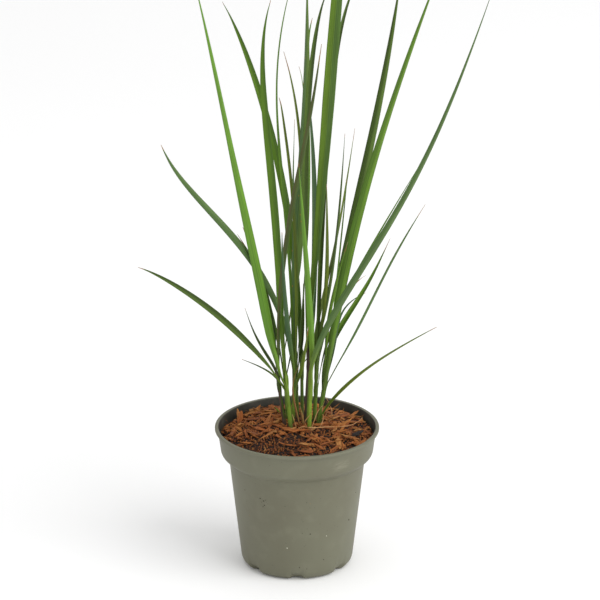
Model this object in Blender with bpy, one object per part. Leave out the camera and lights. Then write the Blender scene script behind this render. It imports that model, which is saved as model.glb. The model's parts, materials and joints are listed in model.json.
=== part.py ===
"""A clump of upright ornamental grass in a round plastic nursery pot.

Sizes are in millimetres and turn to metres when a mesh is made. The origin is the centre of the
pot's flat underside, +Z is up and -Y is the front. Azimuths are in degrees from +X towards +Y.
"""

import math
from dataclasses import dataclass

import bmesh
import bpy
from mathutils import Vector

MM = 0.001
GAP = 0.3  # free space between pieces that touch

# Pot: a thin moulded wall with a deep band under its lip
POT_HEIGHT = 150.0
LIP_RADIUS = 85.0
LIP_THICKNESS = 3.0
BAND_TOP_RADIUS = 82.0
BAND_FOOT = (78.8, 124.0)  # radius and height of the band's lower edge
BODY_TOP = (70.4, 115.5)  # where the slanted shoulder meets the body
CONTACT_RADIUS = 48.0
CORNER_RADIUS = 10.0
WALL = 1.2
FLOOR = 1.6
POT_SIDES = 72

# Seven shallow recesses round the pot's lower edge, and a drain slot inside each
SCALLOPS = 7
SCALLOP_DEPTH = 4.5
SCALLOP_WIDTH = 17.0
SCALLOP_HEIGHT = 9.5
FRONT_AZIMUTH = -90.0
DRAIN_RADIUS = 38.0
DRAIN_SIZE = (5.0, 10.0)  # radial and tangential

# Growing medium and the chips on it
MEDIUM_TOP = 134.0
CHIP_EDGE_TOP = 143.5
CHIP_CROWN_TOP = 152.0
TURNED_SIDES = 48
SHOOT_CLEARANCE = 0.5

# Shoots: rolled leaf sheaths, round in section
SHOOT_SIDES = 8
GROUND = 148.0  # the level that heights on a shoot are counted from

# Blades
STATIONS = 12
KEEL_THICKNESS = 0.5
TIP_THICKNESS = 0.25
FOLD = 0.12  # how far the edges stand over the keel, over the width
FOOT_WIDTH = 0.5  # width at the foot over the greatest width
UNTWIST = 0.3  # the part of the blade in which it turns from its shoot to its own facing


@dataclass
class Shoot:
    """One tiller: its foot and lean in plan, its height over the ground and its radius."""

    x: float
    y: float
    lean: tuple  # sideways travel for each unit of height
    height: float
    radius: float


@dataclass
class Blade:
    """One leaf: where it leaves its shoot, where its tip goes, and how it bends on the way."""

    shoot: int
    height: float  # of its foot on the shoot
    reach: tuple  # from foot to tip in plan
    rise: float  # from foot to tip
    width: float
    face: float = 0.0  # azimuth that its flat side looks to, from the front
    twist: float = 0.0  # more turn between foot and tip
    spread: float = 1.4  # over 1, it leaves upright and leans later
    arch: float = 0.0  # over 0, it climbs early and flattens out
    bow: float = 0.0  # how far its middle stands to the right
    sway: float = 0.0  # S-bend, first to the right


SHOOTS = {
    1: Shoot(-12.5, 4.0, (-0.13, -0.08), 62, 2.4),
    2: Shoot(-6.5, -2.0, (-0.08, -0.06), 66, 2.6),
    3: Shoot(-4.5, 9.0, (0.04, -0.03), 58, 2.2),
    4: Shoot(0.5, 16.0, (-0.03, 0.03), 83, 2.4),
    5: Shoot(5.5, 27.0, (-0.01, 0.08), 78, 2.2),
    6: Shoot(9.5, 7.0, (0.04, -0.02), 88, 2.9),
    7: Shoot(12.8, -1.5, (0.03, 0.0), 61, 2.4),
    8: Shoot(18.0, 15.0, (0.04, 0.06), 73, 2.4),
    9: Shoot(21.5, 6.0, (0.16, 0.0), 60, 2.5),
    10: Shoot(-9.5, 17.0, (-0.06, 0.07), 68, 2.2),
}

BLADES = (
    # Left shoot: short leaves to the left, one long one that crosses to the right
    Blade(1, 58, (-33, 50), 55, 4.0, 25, 0, spread=1.8, arch=-0.6, bow=-2, sway=2),
    Blade(1, 64, (-40, 0), 150, 5.5, -10, 20, spread=1.5, bow=7, sway=-1),
    Blade(1, 60, (-7, 30), 167, 4.5, 50, 0, spread=1.6, arch=-0.5, bow=3, sway=1),
    Blade(1, 16, (-6, -2), 8, 2.6, 0, 0, spread=1.0),
    Blade(1, 61, (43, -85), 387, 6.0, -40, 60, spread=1.0, arch=0.35, sway=-2),
    # Second shoot: the big left leaf, the broad one beside it and two low ones
    Blade(2, 50, (-94, -75), 488, 11.5, 5, 45, spread=3.0, arch=-0.7, bow=-18, sway=5),
    Blade(2, 68, (-14, 25), 393, 12.0, -25, -30, spread=1.3, arch=0.55, bow=-9, sway=5),
    Blade(2, 44, (-147, -90), 170, 7.5, 30, -20, spread=1.3, arch=0.55, bow=-20, sway=2),
    Blade(2, 40, (-46, 45), 19, 4.0, -20, 0, spread=1.6, arch=0.3, bow=5, sway=-2),
    # Third shoot
    Blade(3, 53, (-1, 60), 409, 5.5, 35, 30, spread=1.5, arch=0.25, bow=-14, sway=5),
    Blade(3, 60, (-16, 25), 290, 5.0, -35, 0, spread=2.7, arch=0.9, bow=-2, sway=2),
    Blade(3, 44, (13, -25), 76, 5.0, 15, 0, spread=1.0, arch=-0.3, bow=1),
    Blade(3, 56, (-12, -70), 184, 7.0, 25, 15, spread=1.0, arch=-0.1, bow=-2),
    # Fourth shoot: the middle of the clump
    Blade(4, 52, (-133, -95), 287, 8.5, 45, -25, spread=1.3, arch=0.45, bow=-14, sway=11),
    Blade(4, 75, (1, 45), 298, 4.0, 45, 0, arch=0.8, bow=11, sway=2),
    Blade(4, 85, (12, -35), 424, 13.0, -5, -30, spread=3.0, arch=-0.2, bow=6, sway=-2),
    Blade(4, 60, (5, 20), 85, 5.5, -20, 0, spread=1.9, arch=-0.25, bow=3),
    # Fifth shoot: leans to the back
    Blade(5, 70, (-81, 140), 336, 10.0, -30, 20, arch=0.7, sway=2),
    Blade(5, 80, (11, 55), 337, 6.5, 40, -40, spread=1.0, arch=0.75, bow=1, sway=3),
    Blade(5, 60, (42, 75), 225, 5.5, 30, 0, spread=2.2, arch=-0.7, bow=17),
    # Sixth shoot: the thickest, with the tallest leaf
    Blade(6, 90, (40, 20), 493, 14.0, -15, 25, spread=1.3, arch=0.95, bow=9),
    Blade(6, 80, (21, -60), 414, 7.5, 35, -50, spread=1.3, arch=0.65, bow=-9, sway=-1),
    Blade(6, 80, (-4, 60), 282, 9.0, 30, 20, bow=5, sway=-1),
    # Seventh shoot
    Blade(7, 62, (-13, -85), 260, 8.0, 20, -20, arch=-0.5, bow=2),
    Blade(7, 50, (178, -120), 467, 8.0, -25, 20, arch=-0.6, bow=-7, sway=-9),
    # Eighth shoot
    Blade(8, 71, (83, 60), 399, 10.5, 25, -35, spread=1.2, arch=0.2, bow=14),
    Blade(8, 75, (43, 125), 368, 7.5, -35, 30, arch=0.75, bow=-4, sway=1),
    Blade(8, 49, (119, -65), 284, 6.0, 55, 0, spread=2.1, arch=-0.7, sway=-2, bow=-2),
    Blade(8, 64, (41, 105), 220, 6.0, 45, 0, spread=1.9, arch=-0.7, sway=-3, bow=-2),
    Blade(8, 45, (48, 25), 107, 3.5, 5, 0, spread=1.3, arch=0.8, bow=1),
    Blade(8, 72, (8, -105), 228, 5.0, -30, 0, spread=1.3, arch=0.4, bow=5, sway=1),
    # Right shoot: the bright right leaf and the low ones beside it
    Blade(9, 58, (120, -50), 476, 11.0, -5, 30, arch=-0.35, bow=-14, sway=-1),
    Blade(9, 48, (98, -45), 213, 4.0, 25, 0, spread=1.3, arch=0.05, bow=8, sway=1),
    Blade(9, 40, (70, 70), 140, 7.0, -35, 0, spread=1.5, bow=-1, sway=-5),
    Blade(9, 50, (41, 50), 77, 5.0, 45, 0, spread=1.6, arch=0.85, bow=-3, sway=3),
    Blade(9, 8, (117, -60), 126, 5.0, 20, 0, arch=-0.2, bow=-9, sway=1),
    Blade(9, 62, (20, 55), 189, 4.0, 45, 0, spread=1.6, bow=1, sway=-1),
    Blade(9, 57, (24, -25), 156, 4.5, -25, 0, spread=1.6, bow=-3, sway=-1),
    # Back left shoot
    Blade(10, 60, (-40, 15), 148, 5.0, 25, 0),
    Blade(10, 70, (0, 95), 301, 5.0, -35, 30, arch=0.35, bow=20, sway=1),
    Blade(10, 50, (8, 120), 238, 4.0, 30, 0, arch=-0.2, bow=7, sway=4),
)

# Dead leaves that stand among the shoots, with their feet on the chips
DRY_LEAVES = {
    "dry_blade": ((3.0, -5.0, 152.4), Blade(0, 0, (-1, 2), 65, 2.6, 30, 40, 1.0, 0.1, -6, 1)),
    "dry_sheath": ((6.0, -3.0, 152.4), Blade(0, 0, (-3, 3), 20, 4.5, -20, 30, 1.6)),
}

# A long bare root that lies over the chips to the right
STRAND_ROUTE = (
    (12, -16, 153.4),
    (21, -15, 152.9),
    (30, -12, 152.4),
    (40, -10, 151.5),
    (50, -6, 150.7),
    (57, 0, 149.9),
    (62, 9, 149.0),
    (66, 19, 147.8),
    (68, 29, 146.8),
)
STRAND_RADIUS = 0.7


def material(name, colour, roughness):
    made = bpy.data.materials.new(name)
    made.use_nodes = True
    shader = made.node_tree.nodes["Principled BSDF"]
    shader.inputs["Base Color"].default_value = (*colour, 1)
    shader.inputs["Roughness"].default_value = roughness
    shader.inputs["Metallic"].default_value = 0.0
    return made


def loft(name, rings, surface, tip=None, smooth=True, twisted=False):
    """One closed body through rings of points, in millimetres, capped flat or ending in a tip.

    A twisted one has its sides split in triangles, along lines from the even points of the lower
    ring, so that the two faces of a thin blade bend the same way and never cross.
    """
    shape = bmesh.new()
    loops = [[shape.verts.new(Vector(point) * MM) for point in ring] for ring in rings]
    for low, high in zip(loops, loops[1:]):
        for i in range(len(low)):
            j = (i + 1) % len(low)
            if not twisted:
                shape.faces.new((low[i], low[j], high[j], high[i]))
            elif i % 2 == 0:
                shape.faces.new((low[i], low[j], high[j]))
                shape.faces.new((low[i], high[j], high[i]))
            else:
                shape.faces.new((low[i], low[j], high[i]))
                shape.faces.new((low[j], high[j], high[i]))
    shape.faces.new(loops[0][::-1])
    if tip is None:
        shape.faces.new(loops[-1])
    else:
        point = shape.verts.new(Vector(tip) * MM)
        last = loops[-1]
        for i in range(len(last)):
            shape.faces.new((last[i], last[(i + 1) % len(last)], point))
    bmesh.ops.recalc_face_normals(shape, faces=shape.faces)
    mesh = bpy.data.meshes.new(name)
    shape.to_mesh(mesh)
    shape.free()
    mesh.materials.append(surface)
    if smooth:
        mesh.shade_smooth()
        mesh.set_sharp_from_angle(angle=math.radians(40))
    piece = bpy.data.objects.new(name, mesh)
    bpy.context.scene.collection.objects.link(piece)
    return piece


def circle(radius, height, sides):
    turns = (2 * math.pi * i / sides for i in range(sides))
    return [(radius * math.cos(turn), radius * math.sin(turn), height) for turn in turns]


def cut(piece, cutter):
    """Takes the cutter's shape out of a piece, and keeps the cutter out of the model."""
    cutter.hide_render = True
    cutter.display_type = "WIRE"
    modifier = piece.modifiers.new("cut", "BOOLEAN")
    modifier.operation = "DIFFERENCE"
    modifier.solver = "EXACT"
    modifier.object = cutter


def join(name, pieces):
    """One object from several that don't touch."""
    shape = bmesh.new()
    for piece in pieces:
        shape.from_mesh(piece.data)
        bpy.data.objects.remove(piece)
    mesh = bpy.data.meshes.new(name)
    shape.to_mesh(mesh)
    shape.free()
    joined = bpy.data.objects.new(name, mesh)
    bpy.context.scene.collection.objects.link(joined)
    return joined


def scallop_depth(azimuth, height):
    """How far the recesses push the wall in at this place."""
    pitch = 360 / SCALLOPS
    off_centre = (azimuth - FRONT_AZIMUTH + pitch / 2) % pitch - pitch / 2
    half_width = math.degrees(SCALLOP_WIDTH / 2 / (CONTACT_RADIUS + CORNER_RADIUS))
    if abs(off_centre) >= half_width or height >= SCALLOP_HEIGHT:
        return 0.0
    across = math.cos(math.pi / 2 * off_centre / half_width)
    return SCALLOP_DEPTH * across * (1 - (height / SCALLOP_HEIGHT) ** 2)


def pot_ring(radius, height):
    ring = []
    for x, y, z in circle(1.0, height, POT_SIDES):
        depth = scallop_depth(math.degrees(math.atan2(y, x)), height)
        ring.append((x * (radius - depth), y * (radius - depth), z))
    return ring


def corner(centre_radius, bottom, radius, steps):
    """The rounded lower edge, from the floor up to the wall."""
    points = []
    for i in range(steps + 1):
        turn = math.radians(83) * i / steps
        height = bottom + radius * (1 - math.cos(turn))
        points.append((centre_radius + radius * math.sin(turn), height))
    return points


def make_pot(plastic):
    lip_bottom = POT_HEIGHT - LIP_THICKNESS
    outside = corner(CONTACT_RADIUS, 0.0, CORNER_RADIUS, 4)
    outside += [BODY_TOP, (BAND_FOOT[0] - 1.6, BAND_FOOT[1] - 2.6), BAND_FOOT]
    outside += [(BAND_TOP_RADIUS, lip_bottom - 0.4), (LIP_RADIUS - 0.4, lip_bottom)]
    outside += [(LIP_RADIUS, lip_bottom + 0.6), (LIP_RADIUS, POT_HEIGHT - 0.6)]
    outside += [(LIP_RADIUS - 0.6, POT_HEIGHT)]
    inside = [(BAND_TOP_RADIUS - WALL + 0.4, POT_HEIGHT)]
    inside += [(BAND_TOP_RADIUS - WALL, lip_bottom)]
    inside += [(BAND_FOOT[0] - WALL, BAND_FOOT[1] + 0.4)]
    inside += [(BODY_TOP[0] - WALL, BODY_TOP[1] + 0.6)]
    inside += corner(CONTACT_RADIUS - WALL / 2, FLOOR, CORNER_RADIUS - WALL, 3)[::-1]
    pot = loft("pot", [pot_ring(*point) for point in outside + inside], plastic)

    slots = []
    for i in range(SCALLOPS):
        azimuth = math.radians(FRONT_AZIMUTH + 360 / SCALLOPS * i)
        outward = Vector((math.cos(azimuth), math.sin(azimuth), 0))
        along = Vector((-math.sin(azimuth), math.cos(azimuth), 0))
        corners = []
        for a, b in ((-1, -1), (1, -1), (1, 1), (-1, 1)):
            reach = DRAIN_RADIUS + a * DRAIN_SIZE[0] / 2
            corners.append(outward * reach + along * b * DRAIN_SIZE[1] / 2)
        levels = (Vector((0, 0, -2)), Vector((0, 0, FLOOR + 2)))
        rings = [[place + level for place in corners] for level in levels]
        slots.append(loft("slot", rings, plastic, smooth=False))
    cut(pot, join("drain_cutter", slots))


def make_medium(compost):
    """The root ball: it follows the pot's inner wall and clears the recesses at its foot."""
    wall_gap = WALL + GAP
    profile = [(CONTACT_RADIUS - 6, FLOOR + GAP), (CONTACT_RADIUS + 8.0, 14)]
    profile += [(BODY_TOP[0] - wall_gap - 0.2, BODY_TOP[1] + 1.0)]
    profile += [(BAND_FOOT[0] - wall_gap - 0.2, BAND_FOOT[1] + 1.2), (78.4, MEDIUM_TOP)]
    loft("growing_medium", [circle(*point, TURNED_SIDES) for point in profile], compost)


def axis_point(shoot, height):
    """The middle of a shoot at a height over the ground."""
    x = shoot.x + shoot.lean[0] * height
    y = shoot.y + shoot.lean[1] * height
    return Vector((x, y, GROUND + height))


def shoot_radius(shoot, height):
    """A shoot thins slowly upwards, as its outer sheaths end."""
    return shoot.radius * (1.12 - 0.3 * max(height, 0) / shoot.height)


def shoot_rings(shoot, heights, extra):
    rings = []
    for height in heights:
        middle = axis_point(shoot, height)
        radius = shoot_radius(shoot, height) + extra
        rings.append([middle + Vector((x, y, 0)) for x, y, _ in circle(radius, 0, SHOOT_SIDES)])
    return rings


def make_chips(bark):
    """The loose chips as one mounded solid that reaches their tips, open where shoots come up."""
    foot = MEDIUM_TOP + GAP
    profile = [(78.7, foot), (79.6, CHIP_EDGE_TOP - 2.5), (79.3, CHIP_EDGE_TOP)]
    profile += [(70, 146), (50, 149), (25, CHIP_CROWN_TOP - 0.6), (8, CHIP_CROWN_TOP)]
    chips = loft("chip_mulch", [circle(*point, TURNED_SIDES) for point in profile], bark)
    levels = (MEDIUM_TOP - 4 - GROUND, CHIP_CROWN_TOP + 4 - GROUND)
    bores = []
    for shoot in SHOOTS.values():
        bores.append(loft("bore", shoot_rings(shoot, levels, SHOOT_CLEARANCE), bark))
    cut(chips, join("shoot_cutter", bores))


def make_shoots(sheath):
    foot = MEDIUM_TOP + GAP - GROUND
    for number, shoot in SHOOTS.items():
        heights = (foot, 0, shoot.height / 3, shoot.height * 2 / 3, shoot.height)
        loft(f"tiller_{number:02d}", shoot_rings(shoot, heights, 0), sheath)


def spine_point(blade, foot, lean, s):
    """The blade's middle line, from its foot at s = 0 to its tip at s = 1."""
    outward = s**blade.spread
    with_shoot = blade.rise * s * (1 - s) ** 3
    x = blade.reach[0] * outward + lean[0] * with_shoot
    x += blade.bow * 4 * s * (1 - s) + blade.sway * math.sin(2 * math.pi * s)
    y = blade.reach[1] * outward + lean[1] * with_shoot
    z = blade.rise * (s + blade.arch * s * (1 - s))
    return foot + Vector((x, y, z))


def smooth_step(value):
    value = min(max(value, 0.0), 1.0)
    return value * value * (3 - 2 * value)


def blade_width(blade, s):
    """Narrow at the sheath, widest near the middle, then a long taper."""
    opening = FOOT_WIDTH + (1 - FOOT_WIDTH) * smooth_step(s / 0.4)
    return blade.width * opening * (1 - s**2.6)


def blade_rings(blade, foot, lean, side):
    """Four points a station: both edges, and the keel's two faces."""
    turn = (blade.face - 90 - side + 90) % 180 - 90
    rings = []
    for i in range(STATIONS):
        s = i / STATIONS
        middle = spine_point(blade, foot, lean, s)
        ahead = (spine_point(blade, foot, lean, s + 0.01) - middle).normalized()
        azimuth = math.radians(side + turn * smooth_step(s / UNTWIST) + blade.twist * s)
        looks = Vector((math.cos(azimuth), math.sin(azimuth), 0))
        across = ahead.cross(looks).normalized()
        up = across.cross(ahead)
        half = blade_width(blade, s) / 2
        edge_lift = up * half * 2 * FOLD
        thickness = KEEL_THICKNESS + (TIP_THICKNESS - KEEL_THICKNESS) * s
        right_edge = middle + across * half + edge_lift
        left_edge = middle - across * half + edge_lift
        rings.append([left_edge, middle + up * thickness / 2, right_edge, middle - up * thickness / 2])
    return rings


def make_blade(name, blade, foot, lean, side, surface):
    rings = blade_rings(blade, foot, lean, side)
    loft(name, rings, surface, tip=spine_point(blade, foot, lean, 1.0), twisted=True)


def make_blades(leaf):
    """Each blade's foot stands against its shoot, on the side that the blade leaves by."""
    made = dict.fromkeys(SHOOTS, 0)
    for blade in BLADES:
        shoot = SHOOTS[blade.shoot]
        made[blade.shoot] += 1
        name = f"blade_{blade.shoot:02d}_{made[blade.shoot]}"
        foot = axis_point(shoot, blade.height)
        outward = spine_point(blade, foot, shoot.lean, 0.15)
        outward -= axis_point(shoot, outward.z - GROUND)
        outward.z = 0
        outward.normalize()
        side = math.degrees(math.atan2(outward.y, outward.x))
        if blade.height < shoot.height:
            foot += outward * (shoot_radius(shoot, blade.height) + GAP + KEEL_THICKNESS)
        make_blade(name, blade, foot, shoot.lean, side, leaf)


def make_dry_leaves(straw):
    for name, (foot, blade) in DRY_LEAVES.items():
        make_blade(name, blade, Vector(foot), (0, 0), FRONT_AZIMUTH, straw)


def make_strand(straw):
    path = bpy.data.curves.new("root_strand", "CURVE")
    path.dimensions = "3D"
    path.bevel_depth = STRAND_RADIUS * MM
    path.bevel_resolution = 1
    path.use_fill_caps = True
    spline = path.splines.new("POLY")
    spline.points.add(len(STRAND_ROUTE) - 1)
    for point, place in zip(spline.points, STRAND_ROUTE):
        point.co = (*(Vector(place) * MM), 1)
    path.materials.append(straw)
    bpy.context.scene.collection.objects.link(bpy.data.objects.new("root_strand", path))


def clear_scene():
    for thing in list(bpy.data.objects):
        bpy.data.objects.remove(thing)


def make_all():
    clear_scene()
    make_pot(material("polypropylene", (0.19, 0.18, 0.12), 0.55))
    make_medium(material("compost", (0.05, 0.03, 0.02), 0.95))
    make_chips(material("coco_and_bark_chips", (0.25, 0.09, 0.035), 0.9))
    make_shoots(material("leaf_sheath", (0.12, 0.2, 0.05), 0.6))
    make_blades(material("leaf_blade", (0.09, 0.22, 0.03), 0.5))
    straw = material("dry_leaf", (0.4, 0.25, 0.1), 0.8)
    make_dry_leaves(straw)
    make_strand(straw)


make_all()
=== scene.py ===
"""The looks of an upright ornamental grass in a round nursery pot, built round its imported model.

The origin is the centre of the pot's flat underside, +Z is up and -Y is the front. The sizes of
the pot, the mulch and the threads are in millimetres, and MM turns them to metres as the meshes
are made. Every other length is in metres.
"""

import json
import math

import bmesh
import bpy
import numpy as np
from mathutils import Matrix, Vector, noise

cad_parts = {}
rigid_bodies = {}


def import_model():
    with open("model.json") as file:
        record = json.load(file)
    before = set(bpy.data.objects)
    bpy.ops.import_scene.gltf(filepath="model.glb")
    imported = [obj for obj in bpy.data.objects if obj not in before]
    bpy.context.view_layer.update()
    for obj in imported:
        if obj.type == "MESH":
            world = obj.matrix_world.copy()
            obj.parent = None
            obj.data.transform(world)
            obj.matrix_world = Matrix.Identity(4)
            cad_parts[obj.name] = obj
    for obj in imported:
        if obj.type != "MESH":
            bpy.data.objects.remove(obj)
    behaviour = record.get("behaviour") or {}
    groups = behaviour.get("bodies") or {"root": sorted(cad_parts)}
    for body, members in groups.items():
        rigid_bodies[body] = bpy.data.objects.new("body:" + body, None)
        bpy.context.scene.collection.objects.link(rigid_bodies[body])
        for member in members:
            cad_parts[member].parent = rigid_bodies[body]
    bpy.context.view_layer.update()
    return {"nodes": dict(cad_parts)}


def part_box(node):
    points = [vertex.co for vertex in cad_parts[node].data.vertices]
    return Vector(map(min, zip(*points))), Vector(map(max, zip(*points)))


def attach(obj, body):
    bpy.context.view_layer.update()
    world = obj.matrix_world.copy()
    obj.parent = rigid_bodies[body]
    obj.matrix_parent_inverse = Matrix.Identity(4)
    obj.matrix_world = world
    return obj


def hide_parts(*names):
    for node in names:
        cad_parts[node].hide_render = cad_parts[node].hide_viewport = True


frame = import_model()

# ---------------------------------------------------------------------------------------------
# The pot: one thin injection moulding of olive-grey polypropylene. A deep band stands out under
# its lip, and seven shallow recesses round the lower edge let water out of the slots behind them.

MM = 0.001
FRONT = math.radians(-90)
lip_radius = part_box("pot")[1].x / MM
pot_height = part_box("pot")[1].z / MM
wall = 1.2
floor_thickness = 1.6
foot_radius = 48.0
corner_radius = 10.0
body_foot = (57.9, 8.8)  # radius and height where the straight body ends above the foot
shoulder = (70.4, 115.5)  # and where it turns out to the band
band_foot = (78.6, 122.4)
band_top_radius = 82.0
pot_sides = 216
lip_thickness = 3.0
recess_count = 7
recess_depth = 4.8
recess_width = 17.0
recess_height = 9.5
slot_radius = 38.0
slot_length = 10.0
slot_width = 5.0
slot_sides = 16
scuff_centre = (0.0455, -0.066, 0.133)  # in metres, as the pattern's coordinates are


def linear(hex_colour):
    """A colour written in sRGB hex, as the linear RGBA that a shader takes."""
    parts = [int(hex_colour[i : i + 2], 16) / 255 for i in (1, 3, 5)]
    return (*[c / 12.92 if c <= 0.04045 else ((c + 0.055) / 1.055) ** 2.4 for c in parts], 1.0)


def feed(node, inputs):
    """Sets inputs by name or in order: each is a value, or a node or socket to link."""
    for key, value in inputs.items() if isinstance(inputs, dict) else enumerate(inputs):
        live = [socket for socket in node.inputs if socket.enabled]
        socket = live[key] if isinstance(key, int) else next(s for s in live if s.name == key)
        if isinstance(value, bpy.types.Node):
            value = next(output for output in value.outputs if output.enabled)
        if isinstance(value, bpy.types.NodeSocket):
            node.id_data.links.new(value, socket)
        else:
            socket.default_value = value


def add_node(tree, kind, inputs=(), stops=(), **settings):
    """A node with its settings, its inputs and, for a ramp, its stops of place and colour."""
    node = tree.nodes.new(kind)
    for name, value in settings.items():
        setattr(node, name, value)
    feed(node, inputs)
    for i, (place, colour) in enumerate(stops):
        ramp = node.color_ramp.elements
        element = ramp[i] if i < 2 else ramp.new(place)
        element.position = place
        element.color = linear(colour)
    return node


def start_material(name, even):
    """A material, its tree and its shader, with the values that are even all over set on it."""
    made = bpy.data.materials.new(name)
    made.use_nodes = True
    shader = made.node_tree.nodes["Principled BSDF"]
    feed(shader, even)
    return made, made.node_tree, shader


def mesh_from(name, points, edges, faces):
    """A mesh of this name from its points in metres, and its edges or faces."""
    mesh = bpy.data.meshes.new(name)
    mesh.from_pydata(points, edges, faces)
    return mesh


def shown(name, mesh):
    """An object of this name in the scene, with this mesh, light or camera."""
    piece = bpy.data.objects.new(name, mesh)
    bpy.context.scene.collection.objects.link(piece)
    return piece


def as_mesh(shape, name):
    """A shape that is still being edited, finished as a mesh of this name."""
    mesh = bpy.data.meshes.new(name)
    shape.to_mesh(mesh)
    shape.free()
    return mesh


def rounded_outline(corners, steps=6):
    """The line through corners of (radius, height, rounding), with an arc at each rounding."""
    points = []
    for i, (x, y, rounding) in enumerate(corners):
        corner = Vector((x, y))
        if not rounding:
            points.append(corner)
            continue
        back = (Vector(corners[i - 1][:2]) - corner).normalized()
        ahead = (Vector(corners[i + 1][:2]) - corner).normalized()
        half = back.angle(ahead) / 2
        centre = corner + (back + ahead).normalized() * rounding / math.sin(half)
        start = corner + back * rounding / math.tan(half) - centre
        swing = math.copysign(math.pi - 2 * half, ahead.cross(back))
        turns = [Matrix.Rotation(swing * k / steps, 2) for k in range(steps + 1)]
        points += [centre + turn @ start for turn in turns]
    return points


def divided(points, longest):
    """The same line with more points on its long straight stretches."""
    filled = [points[0]]
    for start, end in zip(points, points[1:]):
        parts = max(1, math.ceil((end - start).length / longest))
        filled += [start.lerp(end, k / parts) for k in range(1, parts + 1)]
    return filled


def turned(name, outline, sides, place):
    """A closed body turned round Z. The outline starts and ends on the axis, underside first."""
    points = [place(0.0, 0.0, outline[0].y)]
    for spot in outline[1:-1]:
        for k in range(sides):
            points.append(place(spot.x, 2 * math.pi * k / sides, spot.y))
    points.append(place(0.0, 0.0, outline[-1].y))
    faces = []
    for k in range(sides):
        after = (k + 1) % sides
        faces.append((0, 1 + after, 1 + k))
        for ring in range(len(outline) - 3):
            low = 1 + ring * sides
            high = low + sides
            faces.append((low + k, low + after, high + after, high + k))
        faces.append((len(points) - 1, high + k, high + after))
    mesh = mesh_from(name, [[c * MM for c in point] for point in points], [], faces)
    mesh.shade_smooth()
    return mesh


def recess(azimuth, height):
    """How far a recess pushes the wall in at this place."""
    pitch = 2 * math.pi / recess_count
    off_centre = (azimuth - FRONT + pitch / 2) % pitch - pitch / 2
    half_width = recess_width / 2 / (foot_radius + corner_radius)
    if abs(off_centre) >= half_width or height >= recess_height:
        return 0.0
    across = min(1.0, 1.5 * math.cos(math.pi / 2 * off_centre / half_width))
    return recess_depth * across * (1 - (height / recess_height) ** 4)


def pot_point(radius, azimuth, height):
    if radius > foot_radius - 1.0:
        radius -= recess(azimuth, height)
    return (radius * math.cos(azimuth), radius * math.sin(azimuth), height)


def plain_point(radius, azimuth, height):
    return (radius * math.cos(azimuth), radius * math.sin(azimuth), height)


wall_slant = (shoulder[0] - body_foot[0]) / (shoulder[1] - body_foot[1])
corner_foot = shoulder[0] - wall_slant * shoulder[1]
outer = [
    (0, 0, 0),
    (foot_radius - 6, 0, 0),
    (corner_foot, 0, corner_radius),
    (*shoulder, 0.6),
    (*band_foot, 7.5),
    (band_top_radius, pot_height - lip_thickness, 0.5),
    (lip_radius, pot_height - lip_thickness, 0.7),
    (lip_radius, pot_height, 0.9),
]
inner = [
    (band_top_radius - wall + 0.4, pot_height, 0.9),
    (band_foot[0] - wall, band_foot[1] + 0.4, 5.0),
    (shoulder[0] - wall, shoulder[1] + 0.6, 1.6),
    (corner_foot - wall + 0.1, floor_thickness, corner_radius - wall),
    (foot_radius - 7, floor_thickness, 0),
    (0, floor_thickness, 0),
]
pot_outline = divided(rounded_outline(outer + inner, steps=9), 7.0)
pot = shown("nursery_pot", turned("nursery_pot", pot_outline, pot_sides, pot_point))

slots = bmesh.new()
for i in range(recess_count):
    azimuth = FRONT + 2 * math.pi / recess_count * i
    ends = []
    for level in (-2.0, floor_thickness + 2.0):
        ring = []
        for k in range(slot_sides):
            turn = 2 * math.pi * (k + 0.5) / slot_sides
            straight = math.copysign((slot_length - slot_width) / 2, math.sin(turn))
            out = slot_radius + slot_width / 2 * math.cos(turn)
            along = straight + slot_width / 2 * math.sin(turn)
            spot = Matrix.Rotation(azimuth, 3, "Z") @ Vector((out, along, level))
            ring.append(slots.verts.new(spot * MM))
        ends.append(ring)
    for k in range(slot_sides):
        after = (k + 1) % slot_sides
        slots.faces.new((ends[0][k], ends[0][after], ends[1][after], ends[1][k]))
    slots.faces.new(ends[0][::-1])
    slots.faces.new(ends[1])
slot_cutter = shown("drain_slots", as_mesh(slots, "drain_slots"))
cut = pot.modifiers.new("drain_slots", "BOOLEAN")
cut.operation = "DIFFERENCE"
cut.solver = "EXACT"
cut.object = slot_cutter


def keep_evaluated(piece):
    """The piece's mesh as its modifiers leave it, on the piece itself, with no modifier left."""
    graph = bpy.context.evaluated_depsgraph_get()
    made = bpy.data.meshes.new_from_object(piece.evaluated_get(graph))
    piece.modifiers.clear()
    piece.data = made
    made.name = piece.name


keep_evaluated(pot)
bpy.data.objects.remove(slot_cutter)
pot.data.set_sharp_from_angle(angle=math.radians(35))

# Moulded polypropylene, spark-eroded tool: a dull, slightly waxy sheen with a very fine stipple,
# soft clouding from the regrind in it, and a thin film of dust that settles in patches
plastic, tree, shader = start_material("moulded_polypropylene", {"Metallic": 0.0, "IOR": 1.49})
place = add_node(tree, "ShaderNodeTexCoord").outputs["Object"]
cloud = add_node(tree, "ShaderNodeTexNoise", (place, 1 / (70 * MM), 3.0))
tones = add_node(
    tree, "ShaderNodeValToRGB", {"Fac": cloud}, stops=((0.30, "#62604d"), (0.70, "#6a6a57"))
)
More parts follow.
